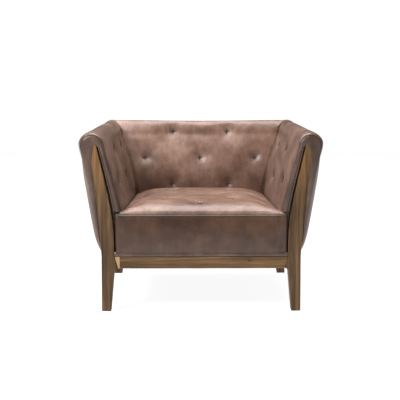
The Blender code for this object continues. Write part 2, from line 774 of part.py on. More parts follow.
def upper_frame():
    rear = Section(1.0)
    stations = arm_stations() + [(CORNER.y - FIT / 2, rear)]
    rings = []
    for y, section in stations:
        rings.append([Vector((CORNER.x + offset, y, z)) for offset, z, reach in rail_section(section)])
    rail = add_object("arm_top_rail_right", loft_mesh("arm_top_rail_right", rings), BEECH)
    mirror_pair(rail)

    rings = [corner_ring(rail_section(rear), math.pi / 2 * step / (2 * CORNER_STEPS))
             for step in range(2 * CORNER_STEPS + 1)]
    rings[0] = [point + Vector((0, FIT / 2, 0)) for point in rings[0]]
    rings[-1] = [point + Vector((FIT / 2, 0, 0)) for point in rings[-1]]
    curve = add_object("top_corner_right", loft_mesh("top_corner_right", rings), BEECH)
    mirror_pair(curve)

    ends = []
    for side in (-1, 1):
        x = side * (CORNER.x - FIT / 2)
        ends.append([Vector((x, CORNER.y + offset, z)) for offset, z, reach in rail_section(rear)])
    add_object("back_top_rail", loft_mesh("back_top_rail", ends), BEECH)

    head = rear.top - TOP_PADDING - FRAME_CLEARANCE - FRAME_RAIL_HEIGHT - FIT
    diagonal = Vector((1, 1, 0)).normalized()
    across = Vector((1, -1, 0)).normalized() * REAR_POST_WIDTH / 2
    centre = Vector((CORNER.x, CORNER.y, 0))
    rings = []
    for z in (RAIL_TOP + FIT, head):
        middle = centre + diagonal * rear.frame_middle(z) + Vector((0, 0, z))
        step = diagonal * FRAME / 2
        rings.append([middle - step - across, middle + step - across, middle + step + across,
                      middle - step + across])
    post = add_object("rear_post_right", loft_mesh("rear_post_right", rings), BEECH)
    mirror_pair(post)

    for number, x in enumerate(STRAP_PLACES, 1):
        rings = []
        for z in (RAIL_TOP + CLIP[1] + FIT, head):
            y = CORNER.y + rear.frame_middle(z)
            rings.append([Vector((x + dx * STRAP[0] / 2, y + dy * STRAP[1] / 2, z))
                          for dx, dy in ((-1, -1), (1, -1), (1, 1), (-1, 1))])
        name = "back_webbing_%d" % number
        add_object(name, loft_mesh(name, rings), WEBBING)


# ---------------------------------------------------------------- padding and covers
def padding():
    for name, outline_of, material in (("arm_foam_right", Section.foam, FOAM),
                                       ("arm_cover_right", Section.cover, LEATHER)):
        piece = add_object(name, loft_mesh(name, arm_rings(outline_of)), material)
        smooth(piece)
        mirror_pair(piece)
    for name, outline_of, material in (("back_foam", Section.foam, FOAM),
                                       ("back_cover", Section.cover, LEATHER)):
        piece = add_object(name, loft_mesh(name, back_rings(outline_of)), material)
        smooth(piece)

    thickness = PAD_FRONT - 2 * FIT - (FRONT + BAND_SETBACK)
    band = plate("arm_front_right", arm_front_outline(), FRONT + BAND_SETBACK, thickness, LEATHER)
    smooth(band)
    mirror_pair(band)


def seat_outline(inset):
    """Half plan of the seat's main block, right side: its front, its bend and its back.

    The bend is where the arm's inside face has reached its rear place."""
    front, back = Section((PAD_FRONT - FRONT) / (CORNER.y - FRONT)), Section(1.0)
    gap = SOFT_GAP + inset
    back_x = CORNER.x + back.inner_base - gap
    bend_y = around_corner(back.inner_base, 0.0, back.reach(SEAT_TOP))[1]
    return (Vector((CORNER.x + front.inner_base - gap, FRONT + SEAT_FACE + inset)),
            Vector((back_x, bend_y)),
            Vector((back_x, CORNER.y + back.inner_base - gap)))


def seat_solid(inset, bottom):
    """Crowned block between the arms with the front strip that reaches out to the posts."""
    front, bend, back = seat_outline(inset)
    shoulder = SEAT_SHOULDER
    levels = [(0.0, bottom), (0.0, SEAT_EDGE - shoulder - inset),
              (0.3 * shoulder, SEAT_EDGE - 0.3 * shoulder - inset), (shoulder, SEAT_EDGE - inset)]
    levels += [(pull, blend(SEAT_EDGE, SEAT_TOP, share) - inset) for pull, share in CROWN_STEPS]
    rings = []
    for pull, z in levels:
        half = [(front.x - pull, front.y + pull)]
        half += [(corner.x - pull, corner.y - pull) for corner in (bend, back)]
        ring = [Vector((x, y, z)) for x, y in half] + [Vector((-x, y, z)) for x, y in half[::-1]]
        rings.append(ring)
    block = add_object("seat_block", loft_mesh("seat_block", rings), FOAM, CUTTERS)
    reach = LEG_INNER - SEAT_POST_GAP - inset
    strip_back = LEG_BACK - SOFT_GAP / 2 - inset
    rings = []
    for pull, z in levels[:4]:
        rings.append([Vector((-reach + pull, front.y + pull, z)), Vector((reach - pull, front.y + pull, z)),
                      Vector((reach - pull, strip_back, z)), Vector((-reach + pull, strip_back, z))])
    combine(block, loft_mesh("strip", rings), "UNION")
    mesh = block.data
    bpy.data.objects.remove(block)
    return mesh


def seat():
    foam = add_object("seat_foam", seat_solid(COVER + FIT, INNER_FOOT), FOAM)
    smooth(foam)
    cover = add_object("seat_cover", seat_solid(0.0, INNER_FOOT), LEATHER)
    combine(cover, seat_solid(COVER, INNER_FOOT - COVER))
    smooth(cover)
    reach = LEG_INNER - SEAT_POST_GAP
    box("seat_flange", (-reach, FRONT + SEAT_FACE / 2, RAIL_TOP + FIT),
        (reach, FRONT + SEAT_FACE / 2 + FLANGE_DEPTH, RAIL_TOP + FLANGE_HEIGHT), LEATHER)


# ---------------------------------------------------------------- springs and deck
def wire(name, points, radius, material):
    curve = bpy.data.curves.new(name, "CURVE")
    curve.dimensions = "3D"
    curve.bevel_depth = radius
    curve.bevel_resolution = 2
    curve.use_fill_caps = True
    spline = curve.splines.new("POLY")
    spline.points.add(len(points) - 1)
    for spot, point in zip(spline.points, points):
        spot.co = (*point, 1.0)
    piece = bpy.data.objects.new(name, curve)
    curve.materials.append(material)
    PARTS.objects.link(piece)
    return piece


def spring_points(x, start, end, z):
    """Zigzag wire with rounded turns."""
    points = [(x, start, z)]
    wave = (end - start) / (SPRING_WAVES + 1)
    for half in range(2 * SPRING_WAVES):
        side = 1 if half % 2 else -1
        y = start + wave * (0.5 + (half + 0.5) / 2)
        for dx, dy in ((0.72, -0.15), (1.0, 0.0), (0.72, 0.15)):
            points.append((x + side * dx * SPRING_SWING, y + dy * wave, z))
    points.append((x, end, z))
    return points


def deck():
    rail_back = rear_rail_front()
    clip_bottom = RAIL_TOP
    clip_top = clip_bottom + CLIP[1]
    reach = (SPRING_COUNT - 1) / 2 * SPRING_PITCH + SPRING_SWING
    front_clip = FRONT + SEAT_FACE / 2 + CLIP_SETBACK + FIT
    rear_clip = rail_back + FIT
    for name, y in (("spring_clip_front", front_clip), ("spring_clip_rear", rear_clip)):
        box(name, (-reach, y, clip_bottom), (reach, y + CLIP[0], clip_top), STEEL)
    z = clip_top + FIT + SPRING_WIRE
    start, end = front_clip + CLIP[0] / 2, rear_clip + CLIP[0] / 2
    for number in range(SPRING_COUNT):
        x = (number - (SPRING_COUNT - 1) / 2) * SPRING_PITCH
        wire("seat_spring_%d" % (number + 1), spring_points(x, start, end, z), SPRING_WIRE, STEEL)
    tie_z = z - SPRING_WIRE - FIT - TIE_WIRE
    section = Section(1.0)
    deck_reach = CORNER.x + section.inner_base - DECK_MARGIN
    for name, share in (("spring_tie_front", TIE_PLACES[0]), ("spring_tie_rear", TIE_PLACES[1])):
        y = blend(start, end, share)
        wire(name, [(-deck_reach, y, tie_z), (deck_reach, y, tie_z)], TIE_WIRE, STEEL)
    felt_bottom = z + SPRING_WIRE + FIT
    front_edge = FRONT + SEAT_FACE / 2 + FLANGE_DEPTH + FIT
    felt_back = CORNER.y + section.inner_base - DECK_MARGIN
    felt_low = (-deck_reach, front_edge, felt_bottom)
    box("deck_felt", felt_low, (deck_reach, felt_back, felt_bottom + FELT), WEBBING)
    margin = DECK_MARGIN + ARRIS
    cloth_bottom = RAIL_BOTTOM - FIT - DUST_COVER
    box("dust_cover", (-LEG_INNER + margin + HAUNCH, FRONT + RAIL_SETBACK + margin, cloth_bottom),
        (LEG_INNER - margin - HAUNCH, rail_back + SIDE_THICKNESS - margin, RAIL_BOTTOM - FIT), BLACK_CLOTH)


front_leg()
rear_leg()
base_rails()
corner_joint("front", front_corner())
corner_joint("rear", rear_corner())
upper_frame()
padding()
seat()
deck()
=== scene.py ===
import math

import bmesh
import bpy
import numpy as np
from mathutils import Euler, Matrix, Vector
from mathutils.kdtree import KDTree


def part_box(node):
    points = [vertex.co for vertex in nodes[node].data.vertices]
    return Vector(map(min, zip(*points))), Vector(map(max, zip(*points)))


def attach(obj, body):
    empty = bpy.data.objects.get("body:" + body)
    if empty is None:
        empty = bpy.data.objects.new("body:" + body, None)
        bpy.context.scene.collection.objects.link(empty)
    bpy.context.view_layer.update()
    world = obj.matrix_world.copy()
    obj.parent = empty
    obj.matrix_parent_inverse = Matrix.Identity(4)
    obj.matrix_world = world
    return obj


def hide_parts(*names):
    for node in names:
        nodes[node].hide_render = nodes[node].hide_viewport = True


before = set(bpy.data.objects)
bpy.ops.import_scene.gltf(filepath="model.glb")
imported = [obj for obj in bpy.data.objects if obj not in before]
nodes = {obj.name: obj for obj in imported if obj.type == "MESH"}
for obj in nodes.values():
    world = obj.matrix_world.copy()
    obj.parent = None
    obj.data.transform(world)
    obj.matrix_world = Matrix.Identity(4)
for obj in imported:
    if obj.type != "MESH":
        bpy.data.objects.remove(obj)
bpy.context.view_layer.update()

print("frame loaded", len(nodes), "nodes")


# small helpers for numbers, curves and meshes
def mix(a, b, share):
    return a + (b - a) * share


def ease(x):
    x = np.clip(x, 0.0, 1.0)
    return x * x * (3 - 2 * x)


def resample(line, count):
    # the same polyline with evenly spaced points
    line = np.asarray(line, float)
    steps = np.linalg.norm(np.diff(line, axis=0), axis=1)
    along = np.concatenate([[0.0], np.cumsum(steps)])
    want = np.linspace(0.0, along[-1], count)
    return np.stack([np.interp(want, along, line[:, k]) for k in range(line.shape[1])], axis=1)


def rounded(line, rounds=3):
    # cuts the corners of a closed outline, a little more each round
    line = np.asarray(line, float)
    for _ in range(rounds):
        ahead = np.roll(line, -1, axis=0)
        pairs = np.stack([mix(line, ahead, 0.25), mix(line, ahead, 0.75)], axis=1)
        line = pairs.reshape(-1, line.shape[1])
    return line


def newPiece(name, verts, faces, smooth=True):
    mesh = bpy.data.meshes.new(name)
    mesh.from_pydata([tuple(v) for v in verts], [], [tuple(f) for f in faces])
    bm = bmesh.new()
    bm.from_mesh(mesh)
    bmesh.ops.recalc_face_normals(bm, faces=bm.faces)
    bm.to_mesh(mesh)
    bm.free()
    if smooth:
        mesh.shade_smooth()
    piece = bpy.data.objects.new(name, mesh)
    bpy.context.scene.collection.objects.link(piece)
    return piece


def ringFaces(ringCount, size, start=0):
    # quads between rings of equally many points, each ring closed
    faces = []
    for r in range(ringCount - 1):
        for k in range(size):
            a, b = start + r * size + k, start + r * size + (k + 1) % size
            faces.append((a, b, b + size, a + size))
    return faces


def cap(size, start=0):
    # closes a ring with quads laid across it
    half = size // 2
    faces = [(start + k, start + k + 1, start + size - 2 - k, start + size - 1 - k) for k in range(half - 1)]
    if size % 2:
        faces.append((start + half - 1, start + half, start + half + 1))
    return faces


def ringSolid(name, rings):
    rings = [np.asarray(r, float) for r in rings]
    size = len(rings[0])
    last = (len(rings) - 1) * size
    faces = ringFaces(len(rings), size) + cap(size) + cap(size, last)
    return newPiece(name, np.concatenate(rings), faces)


def tubeParts(line, radius, sides):
    # vertices and faces of a round cord along a line, with rounded-off ends
    line = np.asarray(line, float)
    count = len(line)
    ahead = np.gradient(line, axis=0)
    ahead /= np.linalg.norm(ahead, axis=1)[:, None]
    side = np.cross(ahead, (0.0, 0.0, 1.0) if abs(ahead[0][2]) < 0.9 else (0.0, 1.0, 0.0))
    side /= np.linalg.norm(side, axis=1)[:, None]
    verts, faces = [], []
    for k in range(count):
        up = np.cross(side[k], ahead[k])
        size = radius * (0.55 if k in (0, count - 1) else 1.0)
        for s in range(sides):
            turn = 2 * math.pi * s / sides
            verts.append(line[k] + size * (math.cos(turn) * side[k] + math.sin(turn) * up))
    faces = ringFaces(count, sides)
    faces += [tuple(range(sides)), tuple(range((count - 1) * sides, count * sides))]
    return verts, faces


def tubes(name, lines, radius, sides=8):
    verts, faces = [], []
    for line in lines:
        more, shapes = tubeParts(line, radius, sides)
        faces += [tuple(i + len(verts) for i in f) for f in shapes]
        verts += more
    return newPiece(name, verts, faces)


def stitchLines(line, spacing, length, lift):
    # short threads along a line, each bowed out by the lift
    line = np.asarray(line, float)
    total = np.linalg.norm(np.diff(line, axis=0), axis=1).sum()
    count = int(total / spacing)
    dense = resample(line, count * 8 + 1)
    reach = max(2, int(round(8 * length / spacing)))
    threads = []
    for k in range(count):
        part = dense[k * 8:k * 8 + reach + 1]
        bow = np.sin(np.linspace(0, math.pi, len(part)))[:, None]
        threads.append(resample(part + bow * np.asarray(lift), 5))
    return threads


def mirrorPiece(piece, name):
    mesh = piece.data.copy()
    for v in mesh.vertices:
        v.co.x = -v.co.x
    mesh.flip_normals()
    other = bpy.data.objects.new(name, mesh)
    bpy.context.scene.collection.objects.link(other)
    return other


def dress(piece, material, slotName, *replaced):
    piece.data.materials.clear()
    piece.data.materials.append(material)
    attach(piece, "root")
    if replaced:
        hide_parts(*replaced)
    return piece


# shader values written as sums and products
class Value:
    def __init__(self, finish, socket):
        self.finish = finish
        self.socket = socket

    def math(self, operation, *values):
        ends = {k: v for k, v in enumerate(values)}
        return self.finish.node("ShaderNodeMath", {"operation": operation}, ends)

    def __add__(self, other):
        return self.math("ADD", self, other)

    def __sub__(self, other):
        return self.math("SUBTRACT", self, other)

    def __mul__(self, other):
        return self.math("MULTIPLY", self, other)

    def __rsub__(self, other):
        return self.math("SUBTRACT", other, self)

    __radd__ = __add__
    __rmul__ = __mul__

    def sine(self):
        return self.math("SINE", self)

    def pingPong(self, span):
        return self.math("PINGPONG", self, span)

    def step(self, low, high):
        # 0 below low, 1 above high, eased between
        ends = {"Value": self, "From Min": low, "From Max": high}
        return self.finish.node("ShaderNodeMapRange", {"interpolation_type": "SMOOTHSTEP"}, ends)


class Finish:
    def __init__(self, name):
        self.material = bpy.data.materials.new(name)
        self.material.use_nodes = True
        self.tree = self.material.node_tree
        self.shader = self.tree.nodes["Principled BSDF"]
        self.place = self.node("ShaderNodeTexCoord", output="Object")

    def node(self, kind, settings=None, ends=None, output=0):
        made = self.tree.nodes.new(kind)
        for key, setting in (settings or {}).items():
            if key == "stops":
                for k, (where, colour) in enumerate(setting):
                    stops = made.color_ramp.elements
                    stop = stops[k] if k < 2 else stops.new(where)
                    stop.position = where
                    stop.color = (*colour, 1.0)
            else:
                setattr(made, key, setting)
        for key, end in (ends or {}).items():
            self.join(made.inputs[key], end)
        return Value(self, made.outputs[output])

    def join(self, socket, end):
        if isinstance(end, Value):
            self.tree.links.new(end.socket, socket)
        elif isinstance(end, tuple) and len(end) == 3 and socket.type == "RGBA":
            socket.default_value = (*end, 1.0)
        else:
            socket.default_value = end

    def noise(self, scale, detail=3.0, roughness=0.5, place=None, distortion=0.0):
        ends = {"Vector": place or self.place, "Scale": scale, "Detail": detail,
                "Roughness": roughness, "Distortion": distortion}
        return self.node("ShaderNodeTexNoise", None, ends)

    def stretched(self, factors):
        ends = {0: self.place, 1: factors}
        return self.node("ShaderNodeVectorMath", {"operation": "MULTIPLY"}, ends)

    def shifted(self, place, offset):
        return self.node("ShaderNodeVectorMath", {"operation": "ADD"}, {0: place, 1: offset})

    def axes(self):
        split = self.node("ShaderNodeSeparateXYZ", None, {0: self.place})
        return [Value(self, split.socket.node.outputs[k]) for k in range(3)]

    def blend(self, factor, a, b, mode="MIX"):
        return self.node("ShaderNodeMix", {"data_type": "RGBA", "blend_type": mode},
                         {0: factor, 6: a, 7: b}, output=2)

    def ramp(self, value, stops):
        return self.node("ShaderNodeValToRGB", {"stops": stops}, {0: value})

    def bump(self, height, distance, strength=1.0, under=None):
        ends = {"Height": height, "Distance": distance, "Strength": strength}
        if under:
            ends["Normal"] = under
        return self.node("ShaderNodeBump", None, ends)

    def set(self, **values):
        for key, end in values.items():
            name = {"colour": "Base Color", "roughness": "Roughness", "normal": "Normal",
                    "metallic": "Metallic",
                    "sheen": "Sheen Weight", "sheenRoughness": "Sheen Roughness",
                    "sheenTint": "Sheen Tint", "specular": "Specular IOR Level"}[key]
            self.join(self.shader.inputs[name], end)
        return self.material


# finishes
leatherLook = {
    "deep": (0.080, 0.039, 0.025), "brown": (0.172, 0.094, 0.065), "pale": (0.300, 0.184, 0.140),
    "patchScale": 5.5, "cloudScale": 16.0, "creaseScale": 34.0,
    "roughness": 0.38, "sheen": 0.02,
}


def makeLeather(name, look, tone=1.0, paintedShade=None):
    f = Finish(name)
    patches = f.noise(look["patchScale"], 4.0, 0.55, distortion=0.6)
    clouds = f.noise(look["cloudScale"], 5.0, 0.6, place=f.shifted(f.place, (3.1, 1.7, 0.4)))
    streaks = f.noise(7.0, 4.0, 0.6, place=f.stretched((9.0, 9.0, 1.6)))
    fine = f.noise(240.0, 2.0, 0.6)
    mottle = patches * 0.48 + clouds * 0.30 + streaks * 0.16 + fine * 0.06
    deep, brown, pale = [tuple(c * tone for c in look[k]) for k in ("deep", "brown", "pale")]
    colour = f.ramp(mottle, [(0.36, deep), (0.50, brown), (0.64, pale)])
    scuffs = f.noise(58.0, 3.0, 0.7, place=f.shifted(f.place, (0.0, 5.0, 2.0))).step(0.66, 0.76)
    colour = f.blend(scuffs * 0.35, colour, pale)
    # painted shade: below the given height the colour is multiplied by a darker tone, where less light falls
    # on the leather
    if paintedShade:
        height = f.axes()[2]
        paintedShadeTone = f.blend(height.step(paintedShade["low"], paintedShade["high"]), paintedShade["tone"], (1.0, 1.0, 1.0))
        colour = f.blend(1.0, colour, paintedShadeTone, "MULTIPLY")
    creases = (f.noise(look["creaseScale"], 2.0, 0.6, distortion=1.4) * 2.0).pingPong(0.5)
    softness = f.noise(22.0, 3.0, 0.5)
    rough = patches * 0.16 + fine * 0.10 + (look["roughness"] - 0.13)
    normal = f.bump(softness, 0.006, 0.35)
    normal = f.bump(creases + fine * 0.5, 0.0009, 0.35, normal)
    return f.set(colour=colour, roughness=rough, normal=normal, sheen=look["sheen"],
                 sheenRoughness=0.45, sheenTint=(1.0, 0.86, 0.80), specular=0.55)


woodLook = {
    "dark": (0.036, 0.018, 0.007), "mid": (0.104, 0.055, 0.022), "light": (0.215, 0.122, 0.055),
    "fresh": (0.47, 0.29, 0.145), "roughness": 0.50,
}


def makeWood(name, look, along, tone=1.0, wedge=None, knot=None, paintedHighlight=None):
    # along is the grain's direction: 0 for X, 1 for Y, 2 for Z
    f = Finish(name)
    fibre = [46.0, 46.0, 46.0]
    fibre[along] = 2.6
    lines = [150.0, 150.0, 150.0]
    lines[along] = 5.0
    bands = f.noise(1.0, 4.0, 0.62, place=f.stretched(tuple(fibre)), distortion=0.7)
    streaks = f.noise(1.0, 3.0, 0.7, place=f.stretched(tuple(lines)))
    broad = f.noise(5.0, 2.0, 0.5, place=f.shifted(f.place, (1.3, 0.2, 0.7)))
    figure = bands * 0.50 + streaks * 0.28 + broad * 0.22
    dark, mid, light = [tuple(c * tone for c in look[k]) for k in ("dark", "mid", "light")]
    colour = f.ramp(figure, [(0.36, dark), (0.50, mid), (0.64, light)])
    pores = f.noise(1.0, 2.0, 0.8, place=f.stretched(tuple(2.2 * v for v in lines))).step(0.60, 0.70)
    colour = f.blend(pores * 0.45, colour, dark)
    x, y, z = f.axes()
    if wedge:
        face = (x + z * wedge["slant"]).step(wedge["edge"] - 0.001, wedge["edge"] + 0.001)
        end = (x - wedge["end"]).step(-0.001, 0.001)
        raw = f.ramp(streaks, [(0.3, look["fresh"]), (0.7, tuple(0.8 * c for c in look["fresh"]))])
        colour = f.blend(face * (1 - end), colour, raw)
    if knot:
        away = f.node("ShaderNodeVectorMath", {"operation": "SUBTRACT"}, {0: f.place, 1: knot["place"]})
        away = f.node("ShaderNodeVectorMath", {"operation": "MULTIPLY"}, {0: away, 1: (0.45, 1.0, 1.0)})
        away = f.node("ShaderNodeVectorMath", {"operation": "LENGTH"}, {0: away}, output="Value")
        colour = f.blend((1 - away.step(0.3 * knot["size"], knot["size"])) * 0.85, colour, dark)
    # painted highlight: the wood brightens from 0.42 m up to full at 0.69 m and above, for light caught on
    # the posts' up-facing tops
    if paintedHighlight:
        paintedHighlightTone = f.blend(z.step(paintedHighlight["low"], paintedHighlight["high"]), (1.0, 1.0, 1.0), paintedHighlight["tone"])
        colour = f.blend(1.0, colour, paintedHighlightTone, "MULTIPLY")
    normal = f.bump(streaks * 0.6 - pores * 0.4, 0.0006, 0.5)
    return f.set(colour=colour, roughness=bands * 0.18 + (look["roughness"] - 0.09), normal=normal,
                 specular=0.28)


def makePlain(name, colour, roughness, scale, depth, metallic=0.0):
    f = Finish(name)
    weave = f.noise(scale, 3.0, 0.6)
    tint = f.ramp(weave, [(0.3, tuple(0.72 * c for c in colour)), (0.7, colour)])
    return f.set(colour=tint, roughness=weave * 0.15 + (roughness - 0.07), metallic=metallic,
                 normal=f.bump(weave, depth, 0.5))


def makeWoven(name, colour, scale):
    f = Finish(name)
    x, y, z = f.axes()
    over = (x * scale).sine()
    under = ((y + z) * scale).sine()
    weave = over * under * 0.5 + 0.5
    tint = f.ramp(weave, [(0.2, tuple(0.55 * c for c in colour)), (0.8, colour)])
    return f.set(colour=tint, roughness=0.9, normal=f.bump(weave, 0.0004, 0.8))


# painted shade: the back pad darkens below 0.60 m, fully at 0.42 m, towards the seat where the arms and seat
# shade it
backPaintedShade = {"low": 0.42, "high": 0.60, "tone": (0.66, 0.62, 0.58)}
leather = makeLeather("leather", leatherLook, paintedShade=backPaintedShade)
# painted shade: the arm pads take a darker copy of the leather, as their sides get less light than the back
# and seat
shadedArmLeather = makeLeather("shadedArmLeather", leatherLook, 0.72)
# painted shade, partly a darker worn leather: the seat's upright boxing below the front seam is darkened, as
# it gets less light than the top
seatPaintedShade = {"low": 0.398, "high": 0.412, "tone": (0.34, 0.26, 0.17)}
seatLeather = makeLeather("seatLeather", leatherLook, paintedShade=seatPaintedShade)
# painted shade: the arm front bands and the flange under the seat's front take a much darker copy of the
# leather
shadedPanelLeather = makeLeather("shadedPanelLeather", leatherLook, 0.44)
# painted shade: the welts in the seams along the band's outer edge are nearly black, for the shade in the
# seam
shadedWeltLeather = makeLeather("shadedWeltLeather", leatherLook, 0.20)
# the legs' finish carries a painted highlight on the post tops
legWood = makeWood("legWood", woodLook, 2, 0.85,
                   paintedHighlight={"low": 0.42, "high": 0.69, "tone": (1.9, 1.8, 1.6)})
railWood = makeWood("railWood", woodLook, 0, 1.25,
                    wedge={"slant": 0.28, "edge": -0.2895, "end": -0.3345},
                    knot={"place": (0.198, -0.393, 0.2135), "size": 0.0065})
rearWood = makeWood("rearWood", woodLook, 0, 1.25)
sideWood = makeWood("sideWood", woodLook, 1)
frameWood = makeWood("frameWood", {**woodLook, "dark": (0.30, 0.19, 0.10), "mid": (0.46, 0.31, 0.18),
                                   "light": (0.60, 0.43, 0.27)}, 0)
paleThread = makePlain("paleThread", (0.42, 0.30, 0.21), 0.7, 900.0, 0.0002)
# dark thread; on the tuft crosses it is painted shade, standing in for the shaded grooves of stitches whose
# thread is leather-coloured
darkThreadAndShade = makePlain("darkThreadAndShade", (0.050, 0.026, 0.018), 0.7, 900.0, 0.0002)
springSteel = makePlain("springSteel", (0.55, 0.55, 0.57), 0.34, 60.0, 0.0001, 1.0)
footNylon = makePlain("footNylon", (0.05, 0.045, 0.04), 0.5, 300.0, 0.0002)
dustCloth = makeWoven("dustCloth", (0.028, 0.028, 0.030), 2600.0)
jute = makeWoven("jute", (0.36, 0.27, 0.17), 1500.0)
felt = makePlain("felt", (0.33, 0.30, 0.27), 0.95, 420.0, 0.0008)
print("finishes made")

# woodwork and hidden parts keep their own shape and take a better finish
nodeFinish = {
    "front_leg": legWood, "rear_leg": legWood, "front_rail": railWood, "rear_rail": rearWood,
    "side_rail": sideWood, "corner_block": frameWood, "arm_top_rail": frameWood,
    "top_corner": frameWood, "back_top_rail": frameWood, "rear_post": frameWood,
    "corner_bolt": springSteel, "seat_spring": springSteel, "spring_": springSteel,
    "back_webbing": jute, "deck_felt": felt, "glide": footNylon,
}
for nodeName, node in nodes.items():
    for start, material in nodeFinish.items():
        if nodeName.startswith(start):
            node.data.materials.clear()
            node.data.materials.append(material)


# shape of the padded shell: an upright section, carried along the arm and round the rear corner
shell = {
    "cornerX": 0.3455, "cornerY": 0.264, "base": 0.065,
    "armFlare": 0.0995, "backFlare": 0.066, "armThickness": 0.114, "backThickness": 0.098,
    "armLean": 0.064, "backLean": 0.072, "armStraight": 0.90, "backStraight": 0.50,
    "armRoll": 0.050, "backRoll": 0.066, "armTop": 0.7345, "backTop": 0.752,
    "foot": 0.2303, "innerFoot": 0.2417, "seatTop": 0.4345,
    "belly": 0.25, "bellyLength": 0.06,
    "front": -0.395, "padFront": -0.3492, "swell": 0.040, "panelDrop": 0.005, "panelTuck": 0.001,
    "legOuter": 0.4085, "kneeWidth": 0.0515, "railTop": 0.2295,
}
post = {
    "reach": 0.0439, "shoulder": 0.678, "topWidth": 0.031, "topRise": 0.013, "curve": 0.42,
    "bend": (0.14, 0.41, 0.63), "bandTop": 0.034, "bandFoot": 0.002,
}


def postOuter(z):
    share = (z - shell["railTop"]) / (post["shoulder"] - shell["railTop"])
    return shell["legOuter"] + post["reach"] * (post["curve"] * share + (1 - post["curve"]) * share ** 2)


def panelEdge(z):
    share = (z - shell["railTop"]) / (post["shoulder"] - shell["railTop"])
    return postOuter(z) + mix(post["bandFoot"], post["bandTop"], share)


sectionSteps = {"outside": 40, "over": 40, "inside": 24}


def section(share, pinch, inset, count):
    # points from the outer foot over the top to the inner foot: offset, height, reach
    s = shell
    flare = mix(s["armFlare"], s["backFlare"], share)
    lean = mix(s["armLean"], s["backLean"], share)
    straight = mix(s["armStraight"], s["backStraight"], share)
    roll = mix(s["armRoll"], s["backRoll"], share)
    top = mix(s["armTop"], s["backTop"], math.sin(share * math.pi / 2)) - pinch * s["panelDrop"]
    shoulder = top - roll
    thick = mix(s["armThickness"], s["backThickness"], share)

    def outer(z):
        rise = (z - s["foot"]) / (shoulder - s["foot"])
        full = s["base"] + flare * (s["belly"] * (1 - np.exp(-rise / s["bellyLength"]))
                                    + (1 - s["belly"]) * rise)
        return mix(full, panelEdge(z) - s["cornerX"], pinch) if pinch > 0 else full

    innerShoulder = s["base"] + flare - thick + pinch * s["panelTuck"]
    innerBase = innerShoulder - lean
    side = np.linspace(s["foot"], shoulder, sectionSteps["outside"])
    points = [np.stack([outer(side) - inset, side], axis=1)]
    middle = (outer(shoulder) + innerShoulder) / 2
    half = (outer(shoulder) - innerShoulder) / 2 - inset
    turn = np.linspace(0, math.pi, sectionSteps["over"])[1:-1]
    over = shoulder + (roll - inset) * np.sin(turn)
    points.append(np.stack([middle + half * np.cos(turn), over], axis=1))
    rise = np.linspace(1, 0, sectionSteps["inside"])
    inner = innerBase + lean * (straight * rise + (1 - straight) * rise ** 2)
    points.append(np.stack([inner + inset, mix(s["seatTop"], shoulder, rise)], axis=1))
    points.append(np.array([[innerBase + inset, s["innerFoot"]]]))
    line = resample(np.concatenate(points), count)
    reach = outer(np.minimum(line[:, 1], shoulder)) - s["base"]
    return np.column_stack([line, reach])


def roundCorner(points, angle):
    # plan places on the way round the rear corner, from the arm at 0 to the back at a right angle
    offset, z, reach = points.T
    rest = offset - reach
    part = angle / (math.pi / 4)
    inX = rest if part <= 1 else rest * part
    inY = rest * (2 - part) if part <= 1 else rest
    x = shell["cornerX"] + reach + np.where(rest >= 0, rest * math.cos(angle), inX)
    y = shell["cornerY"] + reach + np.where(rest >= 0, rest * math.sin(angle), inY)
    return np.stack([x, y, z], axis=1)


def filled(rings, spacing):
    # more rings between the given ones, so that none is further apart than the spacing
    full = [rings[0]]
    for near, far in zip(rings, rings[1:]):
        gap = np.linalg.norm(far - near, axis=1).max()
        steps = max(1, int(math.ceil(gap / spacing)))
        full += [mix(near, far, (k + 1) / steps) for k in range(steps)]
    return full


pad = {"cell": 0.009, "around": 104, "edge": 0.006, "inset": 0.0008, "swellSteps": 4,
       "straightEnd": 0.12, "straightSteps": 9, "cornerSteps": 7}


def endRings(ringOf, shift):
    # three rings that round the edge at a seam; ringOf takes an inset
    e, base = pad["edge"], pad["inset"]
    shift = np.asarray(shift, float)
    return [ringOf(base) + shift * e, ringOf(base + 0.35 * e) + shift * 0.3 * e, ringOf(base + e)]


def armRings():
    rings = []

    def straightRing(y, inset):
        share = (y - shell["front"]) / (shell["cornerY"] - shell["front"])
        pinch = max(0.0, 1 - (y - shell["padFront"]) / shell["swell"]) ** 2
        s = section(share, pinch, inset, pad["around"])
        return np.stack([shell["cornerX"] + s[:, 0], np.full(len(s), y), s[:, 1]], axis=1)

    front = shell["padFront"]
    rings += endRings(lambda inset: straightRing(front, inset), (0, 1, 0))[::-1]
    for y in np.linspace(front + pad["cell"], front + shell["swell"], pad["swellSteps"]):
        rings.append(straightRing(y, pad["inset"]))
    for y in np.linspace(front + shell["swell"], pad["straightEnd"], pad["straightSteps"])[1:]:
        rings.append(straightRing(y, pad["inset"]))
    rear = section(1.0, 0.0, pad["inset"], pad["around"])
    for angle in np.linspace(0, math.pi / 4, pad["cornerSteps"])[:-1]:
        rings.append(roundCorner(rear, angle))
    away = np.array((1, -1, 0)) / math.sqrt(2)
    rings += endRings(lambda inset: roundCorner(section(1.0, 0.0, inset, pad["around"]), math.pi / 4), away)
    return filled(rings, pad["cell"])


def backRings():
    half = []
    away = np.array((-1, 1, 0)) / math.sqrt(2)

    def mitre(inset):
        return roundCorner(section(1.0, 0.0, inset, pad["around"]), math.pi / 4)

    half += endRings(mitre, away)[::-1]
    rear = section(1.0, 0.0, pad["inset"], pad["around"])
    for angle in np.linspace(math.pi / 4, math.pi / 2, pad["cornerSteps"])[1:]:
        half.append(roundCorner(rear, angle))
    other = [ring * (-1, 1, 1) for ring in half[::-1]]
    return filled(half + other, pad["cell"])


